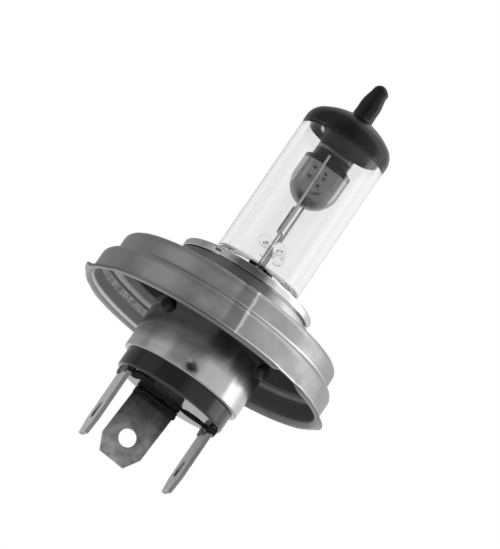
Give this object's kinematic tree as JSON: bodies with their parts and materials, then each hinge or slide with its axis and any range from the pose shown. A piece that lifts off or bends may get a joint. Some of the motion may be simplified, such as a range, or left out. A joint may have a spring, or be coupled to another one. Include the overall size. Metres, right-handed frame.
{
  "type": "headlight bulb",
  "caption": "Halogen headlight lamp: clear capsule with black top, two filaments and shield, stepped locating ring, base shell and flat blade terminals.",
  "frame": {"origin": "centre of the seat plane on the lamp axis, where the ring's pilot wall meets its seat", "axes": "+Z along the lamp axis towards the glass tip, -Y towards the back of the dipped-beam shield, +X to the right seen from there"},
  "size_m": [0.0478, 0.0478, 0.0773],
  "materials": {
    "ring_steel": "satin nickel-plated pressed steel",
    "base_steel": "satin plated steel, dull on the shell",
    "collar_steel": "semi-bright pressed steel",
    "insulator_plastic": "glossy black moulding",
    "root_seal": "uneven black sealing compound",
    "filler_compound": "matt pale cement",
    "blade_metal": "satin tin-plated blade",
    "stained_blade": "darkened, mottled tin-plated blade",
    "quartz": "clear polished quartz",
    "bridge_quartz": "clear drawn quartz",
    "black_coating": "opaque black lacquer, semi-gloss",
    "shield_metal": "satin molybdenum sheet",
    "tungsten": "drawn tungsten wire",
    "lead_metal": "drawn molybdenum wire and foil"
  },
  "bodies": {
    "root": {"locating_ring": "ring_steel", "base_shell": "base_steel", "retaining_collar": "collar_steel", "peg_left": "base_steel", "peg_right": "base_steel", "peg_back": "base_steel", "insulator": "insulator_plastic", "terminal_left": "blade_metal", "terminal_right": "blade_metal", "terminal_back": "stained_blade", "root_seal_left": "root_seal", "root_seal_right": "root_seal", "root_seal_back": "root_seal", "outer_lead_left": "lead_metal", "outer_lead_right": "lead_metal", "outer_lead_back": "lead_metal", "quartz_envelope": "quartz", "black_top_coating": "black_coating", "foil_common": "lead_metal", "foil_main": "lead_metal", "foil_dipped": "lead_metal", "common_lead": "lead_metal", "main_beam_lead": "lead_metal", "dipped_beam_lead": "lead_metal", "bridge_rod_left": "bridge_quartz", "bridge_rod_right": "bridge_quartz", "dipped_beam_shield": "shield_metal", "main_beam_filament": "tungsten", "dipped_beam_filament": "tungsten", "main_beam_leg": "tungsten", "main_beam_tail": "tungsten", "dipped_beam_leg": "tungsten", "pinch_clip": "collar_steel", "potting_cement": "filler_compound"}
  },
  "joints": []
}
